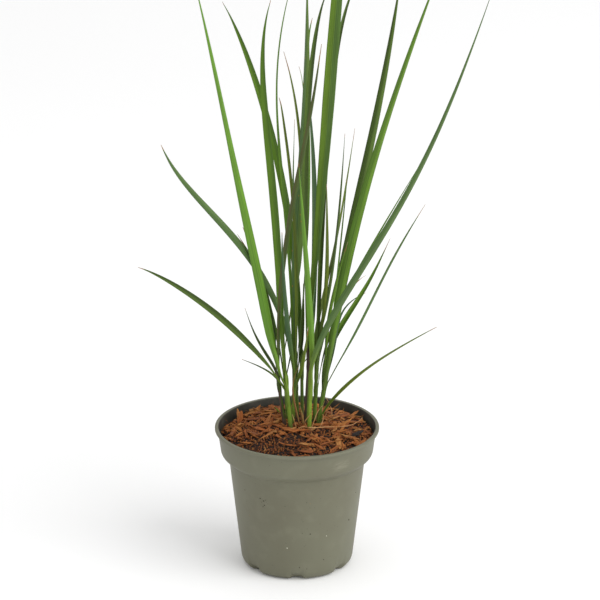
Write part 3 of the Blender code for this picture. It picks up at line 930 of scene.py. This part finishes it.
def resampled(points, gap):
    """A smooth line through points, the same distance apart, and where each lies among them."""
    lengths = np.concatenate([[0], np.cumsum(np.linalg.norm(np.diff(points, axis=0), axis=1))])
    slopes = np.gradient(points, lengths, axis=0)
    count = max(8, round(lengths[-1] / gap))
    along = np.linspace(0, lengths[-1], count)
    i = np.clip(np.searchsorted(lengths, along, side="right") - 1, 0, len(points) - 2)
    step = (lengths[i + 1] - lengths[i])[:, None]
    t = ((along - lengths[i])[:, None]) / step
    line = (2 * t**3 - 3 * t**2 + 1) * points[i] + (t**3 - 2 * t**2 + t) * step * slopes[i]
    line += (3 * t**2 - 2 * t**3) * points[i + 1] + (t**3 - t**2) * step * slopes[i + 1]
    return line, along, lengths


def leaf_stations(node, shoot_name, flatness, fold, sheathed=True):
    """Rows of the whole leaf, sheath first: place, way across, hollow side, form (half width, curl,
    fold), distance along, and shoot (stain and painted shade, yellowness, share of the sheath's
    colour)."""
    middles, looks, halves = read_blade(node)
    line, along, lengths = resampled(middles, station_gap)
    looks = np.stack([np.interp(along, lengths, unit(looks)[:, k]) for k in range(3)], axis=1)
    half = np.interp(along, lengths, halves)
    broad = smooth((half.max() - 4.5 * MM) / (1.5 * MM))  # 0 for a narrow blade, 1 for a broad one
    foot_curl = channel_curl + 0.65 * broad
    opened = smooth(along / (opening * (1 + 1.3 * broad)))
    to_tip = along[-1] - along
    curl = foot_curl + (flatness - foot_curl) * opened
    curl += (tip_curl - flatness) * (1 - smooth(to_tip / tip_closing))
    rows = [line, looks, half, curl, along]
    if sheathed:
        foot = line[0]
        top_middle, _ = shoot_at(shoot_name, foot[2])
        away = np.linalg.norm((foot - top_middle)[:2])
        outward = -unit(looks[0] * [1, 1, 0])
        lowest = max(foot[2] - sheath_length, surface_level - 4 * MM)
        reach = foot[2] - lowest
        downs = np.linspace(reach, 0, max(4, round(reach / sheath_gap)))[:-1]
        sheath_rows = [[], [], [], [], []]
        for down in downs:
            middle, radius = shoot_at(shoot_name, foot[2] - down)
            held = smooth(down / (13 * MM))
            sunk = smooth((down / reach - 0.55) / 0.45)
            laid = smooth(down / (9 * MM))
            stand = away + (radius + sheath_stand - away) * laid - sheath_sink * sunk
            wrap = foot_curl + (sheath_wrap - foot_curl) * held
            bend_radius = half[0] / foot_curl * (1 - held) + stand * held
            sheath_rows[0].append(middle + outward * stand)
            sheath_rows[1].append(-outward)
            sheath_rows[2].append(wrap * bend_radius)
            sheath_rows[3].append(wrap)
            sheath_rows[4].append(-down)
        rows = [np.concatenate([np.array(low), high]) for low, high in zip(sheath_rows, rows)]
    line, looks, half, curl, along = rows
    ahead = unit(np.gradient(line, axis=0))
    across = unit(np.cross(ahead, looks))
    hollow = np.cross(across, ahead)
    folds = np.where(along < 0, 0.0, fold * smooth(along / opening))
    form = np.stack([half, curl, folds], axis=1)
    shoot = np.zeros_like(line)
    if sheathed:
        turn = math.atan2(outward[1], outward[0])
        shoot[:, 0] = [stain_and_shade_at(shoot_name, turn, level) for level in line[:, 2]]
        shoot[:, 0] *= 1 - smooth(along / (15 * MM))
        shoot[:, 1] = sheath_looks[shoot_name][2]
        shoot[:, 2] = 1 - smooth((along + 3 * MM) / (65 * MM))
    return line, across, hollow, form, along, shoot


# Sweeps a leaf's section along its rows. A row's points lie on an arc of angle "curl" each way,
# folded at the midrib, and each point keeps its place on the leaf for the finish.
sweep, given = start_tree(
    "leaf_sweep",
    {"Rows": "Geometry", "Row count": "Int", "Columns": "Int"}
    | {"Ripple": "Float", "Ripple length": "Float", "Material": "Material"},
    "Leaf",
)
sheet = add_node(
    sweep, "GeometryNodeMeshGrid",
    {"Size X": 2.0, "Size Y": 1.0}
    | {"Vertices X": given["Columns"], "Vertices Y": given["Row count"]},
)
grid_place = add_node(sweep, "GeometryNodeInputPosition")
side = add_node(sweep, "ShaderNodeSeparateXYZ", {0: grid_place}).outputs["X"]
index = add_node(sweep, "GeometryNodeInputIndex")
row = add_node(sweep, "ShaderNodeMath", (index, given["Row count"]), operation="MODULO")
sampled = {}
for name in ("middle", "across", "hollow", "form", "along", "shoot"):
    stored = add_node(
        sweep, "GeometryNodeInputNamedAttribute", {"Name": name}, data_type="FLOAT_VECTOR"
    )
    sampled[name] = add_node(
        sweep, "GeometryNodeSampleIndex",
        {"Geometry": given["Rows"], "Value": stored, "Index": row}, data_type="FLOAT_VECTOR",
        domain="POINT",
    )
form = add_node(sweep, "ShaderNodeSeparateXYZ", {0: sampled["form"]})
length = add_node(sweep, "ShaderNodeSeparateXYZ", {0: sampled["along"]})
sums = {
    "side": side,
    "half width": form.outputs["X"],
    "curl": form.outputs["Y"],
    "fold": form.outputs["Z"],
    "distance": length.outputs["X"],
    "ripple": given["Ripple"],
    "ripple length": given["Ripple length"],
}
for name, operation, *terms in (
    ("bend", "DIVIDE", "half width", "curl"),
    ("turn", "MULTIPLY", "side", "curl"),
    ("sine", "SINE", "turn"),
    ("cosine", "COSINE", "turn"),
    ("fall", "SUBTRACT", 1.0, "cosine"),
    ("sideways", "MULTIPLY", "bend", "sine"),
    ("arc rise", "MULTIPLY", "bend", "fall"),
    ("off rib", "ABSOLUTE", "side"),
    ("fold share", "MULTIPLY", "half width", "fold"),
    ("fold rise", "MULTIPLY_ADD", "off rib", "fold share", "arc rise"),
    ("waves", "DIVIDE", "distance", "ripple length"),
    ("phase", "MULTIPLY_ADD", "side", 1.4, "waves"),
    ("wave", "SINE", "phase"),
    ("rim share", "POWER", "off rib", 2.0),
    ("wave share", "MULTIPLY", "wave", "rim share"),
    ("rise", "MULTIPLY_ADD", "wave share", "ripple", "fold rise"),
    ("flat place", "MULTIPLY", "side", "half width"),
):
    terms = [sums.get(term, term) for term in terms]
    sums[name] = add_node(sweep, "ShaderNodeMath", terms, operation=operation)
to_side, to_hollow = (
    add_node(sweep, "ShaderNodeVectorMath", (sampled[way], sums[reach]), operation="SCALE")
    for way, reach in (("across", "sideways"), ("hollow", "rise"))
)
off_line = add_node(sweep, "ShaderNodeVectorMath", (to_side, to_hollow), operation="ADD")
spot = add_node(sweep, "ShaderNodeVectorMath", (sampled["middle"], off_line), operation="ADD")
on_leaf = add_node(
    sweep, "ShaderNodeCombineXYZ", (sums["flat place"], length.outputs["X"], length.outputs["Y"])
)
side_and_wither = add_node(sweep, "ShaderNodeCombineXYZ", (side, length.outputs["Z"]))
leaf = sheet
for name, value in (
    ("on_leaf", on_leaf),
    ("side_and_wither", side_and_wither),
    ("shoot", sampled["shoot"]),
):
    leaf = add_node(
        sweep, "GeometryNodeStoreNamedAttribute", {"Geometry": leaf, "Name": name, "Value": value},
        data_type="FLOAT_VECTOR", domain="POINT",
    )
swept = add_node(sweep, "GeometryNodeSetPosition", {"Geometry": leaf, "Position": spot})
soft = add_node(sweep, "GeometryNodeSetShadeSmooth", {"Geometry": swept})
end_tree(sweep, "Leaf", soft, given["Material"])


def leaf_material(name, left, right, waxy, flecks):
    """A leaf finish: the colour of each half, how waxy, and how many rust flecks."""
    made, tree, shader = start_material(name, {"Metallic": 0.0, "Specular IOR Level": 0.3})
    on_leaf = add_node(tree, "ShaderNodeAttribute", attribute_name="on_leaf").outputs["Vector"]
    marks = add_node(tree, "ShaderNodeAttribute", attribute_name="side_and_wither")
    mark = add_node(tree, "ShaderNodeSeparateXYZ", {0: marks.outputs["Vector"]})
    # The halves differ where the blade shows its two faces on each side of the keel
    half_share = add_node(tree, "ShaderNodeMapRange", (mark.outputs["X"], -0.12, 0.12))
    halves = add_node(
        tree, "ShaderNodeMix", (half_share, linear(left), linear(right)), data_type="RGBA"
    )
    # Veins run the whole length: 0.4 mm apart, drawn at 1.1 mm
    stretched = add_node(
        tree, "ShaderNodeVectorMath", (on_leaf, (1 / (1.1 * MM), 1 / (90 * MM), 0.0)),
        operation="MULTIPLY",
    )
    veins = add_node(tree, "ShaderNodeTexNoise", (stretched, 1.0, 2.0))
    vein_shade = add_node(tree, "ShaderNodeMapRange", (veins, 0.3, 0.7, 0.84, 1.14))
    # The foot keeps the colour of the shoot that it leaves
    of_shoot = add_node(tree, "ShaderNodeAttribute", attribute_name="shoot").outputs["Vector"]
    shoot_part = add_node(tree, "ShaderNodeSeparateXYZ", {0: of_shoot})
    foot = sheath_colour(tree, veins, shoot_part.outputs["X"], shoot_part.outputs["Y"])
    footed = add_node(
        tree, "ShaderNodeMix", (shoot_part.outputs["Z"], halves, foot), data_type="RGBA"
    )
    # The midrib is a pale line, and shade gathers beside it
    off_rib = add_node(tree, "ShaderNodeMath", {0: mark.outputs["X"]}, operation="ABSOLUTE")
    rib_shade = add_node(
        tree, "ShaderNodeValToRGB", {"Fac": off_rib},
        stops=((0.0, "#ffffff"), (0.30, "#e6e6e6"), (0.09, "#d0d0d0")),
    )
    shade = add_node(tree, "ShaderNodeVectorMath", (rib_shade, vein_shade), operation="SCALE")
    veined = add_node(tree, "ShaderNodeVectorMath", (footed, shade), operation="MULTIPLY")
    # Broad, slow change of tone along the blade
    drift_place = add_node(
        tree, "ShaderNodeVectorMath", (on_leaf, (1 / (9 * MM), 1 / (60 * MM), 0.0)),
        operation="MULTIPLY",
    )
    drift = add_node(tree, "ShaderNodeTexNoise", (drift_place, 1.0, 2.0))
    drift_shade = add_node(tree, "ShaderNodeMapRange", (drift, 0.3, 0.7, 0.86, 1.12))
    drifted = add_node(tree, "ShaderNodeVectorMath", (veined, drift_shade), operation="SCALE")
    # Rust flecks, 1 to 2 mm long
    fleck_place = add_node(
        tree, "ShaderNodeVectorMath", (on_leaf, (1 / (4 * MM), 1 / (11 * MM), 0.0)),
        operation="MULTIPLY",
    )
    fleck_cell = add_node(tree, "ShaderNodeTexVoronoi", {"Vector": fleck_place, "Scale": 1.0})
    fleck = add_node(tree, "ShaderNodeMapRange", (fleck_cell, 0.06, 0.13, flecks, 0.0))
    flecked = add_node(tree, "ShaderNodeMix", (fleck, drifted, linear("#a8762c")), data_type="RGBA")
    # The tip dries from green through ochre to a bleached brown
    wither_edge = add_node(tree, "ShaderNodeMath", (veins, -0.5), operation="ADD")
    wither = add_node(
        tree, "ShaderNodeMath", (wither_edge, 0.5, mark.outputs["Y"]), operation="MULTIPLY_ADD"
    )
    dry_colour = add_node(
        tree, "ShaderNodeValToRGB", {"Fac": wither},
        stops=((0.2, "#74742a"), (0.95, "#9c8468"), (0.5, "#865c2c")),
    )
    dry_share = add_node(tree, "ShaderNodeMapRange", (wither, 0.12, 0.4))
    colour = add_node(tree, "ShaderNodeMix", (dry_share, flecked, dry_colour), data_type="RGBA")
    gloss = add_node(
        tree, "ShaderNodeMapRange", (veins, 0.0, 1.0, 0.42 + 0.2 * waxy, 0.55 + 0.2 * waxy)
    )
    vein_bump = add_node(
        tree, "ShaderNodeBump", {"Strength": 0.45, "Distance": 0.15 * MM, "Height": veins}
    )
    feed(shader, {"Base Color": colour, "Roughness": gloss, "Normal": vein_bump})
    return made


# Leaf skin: a thin waxy skin over green tissue. Young blades are bright and smooth, grown ones
# deeper, shaded ones almost black-green, partly their own deep green and partly painted shade for
# blades deep in the clump, and some wear a blue-grey bloom or fade to bronze or gold.
finishes = {
    "young": leaf_material("young_leaf_skin", "#6a982a", "#628f26", 0.0, 0.0),
    "grown": leaf_material("grown_leaf_skin", "#5f8519", "#527718", 0.1, 0.0),
    "shaded": leaf_material("shaded_leaf_skin", "#4b6516", "#3f5613", 0.1, 0.0),
    "bloomed": leaf_material("bloomed_leaf_skin", "#5d7841", "#547339", 0.6, 0.0),
    "flecked": leaf_material("flecked_leaf_skin", "#66823a", "#5a7a42", 0.5, 1.0),
    "keeled": leaf_material("keeled_leaf_skin", "#5c7c14", "#5f8038", 0.3, 0.0),
    "bronzed": leaf_material("bronzed_leaf_skin", "#46571f", "#505423", 0.2, 0.0),
    "golden": leaf_material("golden_leaf_skin", "#6d7f22", "#5f731f", 0.1, 0.0),
    "dusky": leaf_material("dusky_leaf_skin", "#466338", "#3d5a35", 0.4, 0.0),
}

# The leaf's blade in CAD: finish, dry length of the tip in mm, flatness (curl of the open blade)
# and fold
leaf_looks = {
    "01_1": ("shaded", 6, 0.7, 0.10),
    "01_2": ("shaded", 26, 0.6, 0.12),
    "01_3": ("bloomed", 8, 0.6, 0.10),
    "01_4": ("golden", 2, 0.8, 0.05),
    "01_5": ("bronzed", 36, 0.6, 0.12),
    "02_1": ("young", 8, 0.5, 0.12),
    "02_2": ("grown", 10, 0.5, 0.20),
    "02_3": ("shaded", 14, 0.5, 0.12),
    "02_4": ("shaded", 5, 0.7, 0.10),
    "03_1": ("grown", 10, 0.6, 0.12),
    "03_2": ("golden", 14, 0.6, 0.10),
    "03_3": ("golden", 16, 0.6, 0.12),
    "03_4": ("dusky", 4, 0.6, 0.15),
    "04_1": ("bloomed", 14, 0.6, 0.15),
    "04_2": ("grown", 8, 0.6, 0.10),
    "04_3": ("flecked", 8, 0.45, 0.16),
    "04_4": ("shaded", 4, 0.7, 0.10),
    "05_1": ("grown", 8, 0.5, 0.15),
    "05_2": ("grown", 8, 0.6, 0.12),
    "05_3": ("shaded", 6, 0.6, 0.12),
    "06_1": ("keeled", 10, 0.4, 0.34),
    "06_2": ("shaded", 10, 0.6, 0.14),
    "06_3": ("dusky", 6, 0.5, 0.12),
    "07_1": ("young", 8, 0.5, 0.14),
    "07_2": ("bloomed", 10, 0.5, 0.16),
    "08_1": ("shaded", 6, 0.5, 0.14),
    "08_2": ("shaded", 8, 0.6, 0.12),
    "08_3": ("grown", 42, 0.6, 0.12),
    "08_4": ("golden", 20, 0.6, 0.12),
    "08_5": ("golden", 22, 0.7, 0.10),
    "08_6": ("golden", 16, 0.6, 0.12),
    "09_1": ("grown", 8, 0.5, 0.14),
    "09_2": ("bloomed", 26, 0.6, 0.10),
    "09_3": ("grown", 22, 0.5, 0.14),
    "09_4": ("dusky", 5, 0.6, 0.12),
    "09_5": ("golden", 14, 0.5, 0.12),
    "09_6": ("grown", 6, 0.6, 0.12),
    "09_7": ("grown", 18, 0.7, 0.10),
    "10_1": ("grown", 14, 0.6, 0.12),
    "10_2": ("golden", 34, 0.6, 0.12),
    "10_3": ("bloomed", 12, 0.6, 0.10),
}


def make_leaf(name, node_name, finish, dry_length, stations, thickness, ripple):
    """One leaf from its rows of stations, as a closed sheet of even thickness."""
    line, across, hollow, form, along, shoot = stations
    to_tip = along[-1] - along
    wither = np.clip(1 - to_tip / (dry_length * MM), 0, 1)
    rows = mesh_from(name, line.tolist(), [], [])
    stored = {
        "middle": line,
        "across": across,
        "hollow": hollow,
        "form": form,
        "along": np.stack([along, to_tip, wither], axis=1),
        "shoot": shoot,
    }
    for attribute, values in stored.items():
        store(rows, attribute, values)
    leaf = shown(name, rows)
    section = {"Row count": len(line), "Columns": leaf_columns}
    waves = {"Ripple": ripple, "Ripple length": ripple_length}
    use_tree(leaf, sweep, section | waves | {"Material": finish})
    thick = leaf.modifiers.new("thickness", "SOLIDIFY")
    thick.thickness = thickness
    thick.offset = 0.0
    keep_evaluated(leaf)
    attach(leaf, "root")
    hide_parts(node_name)
    return leaf


for number, (finish, dry_length, flatness, fold) in leaf_looks.items():
    blade = frame["nodes"]["blade_" + number]
    held = number != "01_4"  # that leaf is a cut stub without a sheath
    stations = leaf_stations(blade, "tiller_" + number[:2], flatness, fold, held)
    leaf = make_leaf(
        "leaf_" + number,
        "blade_" + number,
        finishes[finish],
        dry_length,
        stations,
        leaf_thickness,
        0.25 * MM,
    )

# ---------------------------------------------------------------------------------------------
# Dead leaves: two narrow blades of old growth, dried to papery straw. They stand among the
# shoots, held at the foot by the living sheaths round them.

# Dead grass: papery straw, tan to rust, with darker veins
straw = leaf_material("dead_grass_straw", "#97743f", "#875f33", 0.9, 0.6)
for name in ("dry_blade", "dry_sheath"):
    stations = leaf_stations(frame["nodes"][name], None, 0.8, 0.15, sheathed=False)
    dead = make_leaf(name.replace("dry", "dead"), name, straw, 8, stations, 0.3 * MM, 0.4 * MM)

# ---------------------------------------------------------------------------------------------
# Roots and loose threads: a long bare root that lies over the mulch to the right, and dried
# wisps of husk and old leaf that stand up between the shoots.

# Threads follow their points: "thickness" at each point is the radius there
thread, given = start_tree(
    "thread_along_line",
    {"Line": "Geometry", "Spacing": "Float", "Sides": "Int", "Material": "Material"},
    "Thread",
)
line = add_node(thread, "GeometryNodeMeshToCurve", {"Mesh": given["Line"]})
bent = add_node(thread, "GeometryNodeCurveSplineType", {"Curve": line}, spline_type="CATMULL_ROM")
even = add_node(
    thread, "GeometryNodeResampleCurve", {"Curve": bent, "Length": given["Spacing"]}, mode="LENGTH"
)
thickness = add_node(
    thread, "GeometryNodeInputNamedAttribute", {"Name": "thickness"}, data_type="FLOAT"
)
section = add_node(
    thread, "GeometryNodeCurvePrimitiveCircle", {"Resolution": given["Sides"], "Radius": 1.0}
)
tube = add_node(
    thread, "GeometryNodeCurveToMesh",
    {"Curve": even, "Profile Curve": section, "Scale": thickness, "Fill Caps": True},
)
soft = add_node(thread, "GeometryNodeSetShadeSmooth", {"Geometry": tube})
end_tree(thread, "Thread", soft, given["Material"])

root_route = (
    (12, -16, 154.6),
    (21, -15, 154.2),
    (30, -12, 153.8),
    (40, -10, 153.0),
    (50, -6, 152.2),
    (57, 0, 151.4),
    (62, 9, 150.4),
    (66, 19, 149.2),
    (68, 29, 148.2),
)
wisps = (
    ((28, 18, 150), (31, 14, 160), (33, 12, 170), (29, 14, 177), (24, 17, 181)),
    ((33, 12, 150), (36, 10, 158), (35, 12, 166), (30, 16, 171)),
    ((15, -8, 151), (18, -6, 159), (21, -2, 166), (26, 4, 171)),
    ((10, -7, 152), (8, -8, 158), (12, -6, 163), (16, -4, 168)),
    ((-1, -7, 152), (-3, -8, 160), (-5, -7, 166)),
    ((24, -3, 150), (27, 0, 158), (26, 4, 168), (29, 6, 176)),
    ((2, -12, 152), (6, -14, 155), (12, -15, 154), (18, -20, 152)),
)


def make_threads(name, routes, radius, material):
    """Tapered threads through points in mm, each its own line."""
    points = [point for route in routes for point in route]
    edges, radii, first = [], [], 0
    for route in routes:
        edges += [(first + k, first + k + 1) for k in range(len(route) - 1)]
        radii += [radius * MM * (1 - 0.7 * k / (len(route) - 1)) for k in range(len(route))]
        first += len(route)
    mesh = mesh_from(name, [Vector(point) * MM for point in points], edges, [])
    store(mesh, "thickness", radii)
    threads = shown(name, mesh)
    use_tree(threads, thread, {"Spacing": 1.5 * MM, "Sides": 6, "Material": material})
    keep_evaluated(threads)
    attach(threads, "root")
    return threads


# Dried root and leaf thread: pale straw to rust along its length, dull
fibre, tree, shader = start_material("dried_root_fibre", {"Metallic": 0.0, "Roughness": 0.8})
place = add_node(tree, "ShaderNodeTexCoord").outputs["Object"]
fibre_drift = add_node(tree, "ShaderNodeTexNoise", (place, 1 / (6 * MM), 3.0))
fibre_tone = add_node(
    tree, "ShaderNodeValToRGB", {"Fac": fibre_drift}, stops=((0.35, "#9a6534"), (0.7, "#c29a6a"))
)
feed(shader, {"Base Color": fibre_tone})
root = make_threads("bare_root", (root_route,), 0.7, fibre)
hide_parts("root_strand")
loose = make_threads("loose_wisps", wisps, 0.5, fibre)

# ---------------------------------------------------------------------------------------------
# The studio: a pale floor, an even white surround, and one large soft light high on the right.

floor_corners = [(-30, -30, 0), (30, -30, 0), (30, 30, 0), (-30, 30, 0)]
floor_mesh = mesh_from("studio_floor", floor_corners, [], [(0, 1, 2, 3)])
studio_floor = shown("studio_floor", floor_mesh)
# Matte white backdrop paper
paper, tree, shader = start_material("matte_backdrop_paper", {"Metallic": 0.0, "Roughness": 1.0})
place = add_node(tree, "ShaderNodeTexCoord").outputs["Object"]
paper_drift = add_node(tree, "ShaderNodeTexNoise", (place, 2.0))
paper_tone = add_node(
    tree, "ShaderNodeValToRGB", {"Fac": paper_drift}, stops=((0.0, "#fbfbfb"), (1.0, "#fdfdfd"))
)
feed(shader, {"Base Color": paper_tone})
floor_mesh.materials.append(paper)

surround = bpy.data.worlds.new("studio_surround")
surround.use_nodes = True
surround.node_tree.nodes["Background"].inputs["Color"].default_value = linear("#ffffff")
surround.node_tree.nodes["Background"].inputs["Strength"].default_value = 0.86
bpy.context.scene.world = surround

middle = Vector((0, 0, 0.3))
lamp = bpy.data.lights.new("key_light", "AREA")
lamp.size = 3.0
lamp.energy = 76.0
light = shown("key_light", lamp)
light.location = Vector((2.3, -1.5, 2.2))
light.rotation_euler = (middle - light.location).to_track_quat("-Z", "Y").to_euler()

aim = Vector((0.0031, 0.0, 0.2897))
camera_distance = 6.0
camera_elevation = math.radians(21.1)
view_width = 0.6156  # at the aim
camera = bpy.data.cameras.new("camera")
camera.sensor_width = 36.0
camera.lens = camera.sensor_width * camera_distance / view_width
camera.clip_end = 60.0
viewer = shown("camera", camera)
back = Vector((0, -math.cos(camera_elevation), math.sin(camera_elevation)))
viewer.location = aim + back * camera_distance
viewer.rotation_euler = (-back).to_track_quat("-Z", "Y").to_euler()
bpy.context.scene.camera = viewer
bpy.context.scene.view_settings.view_transform = "Standard"
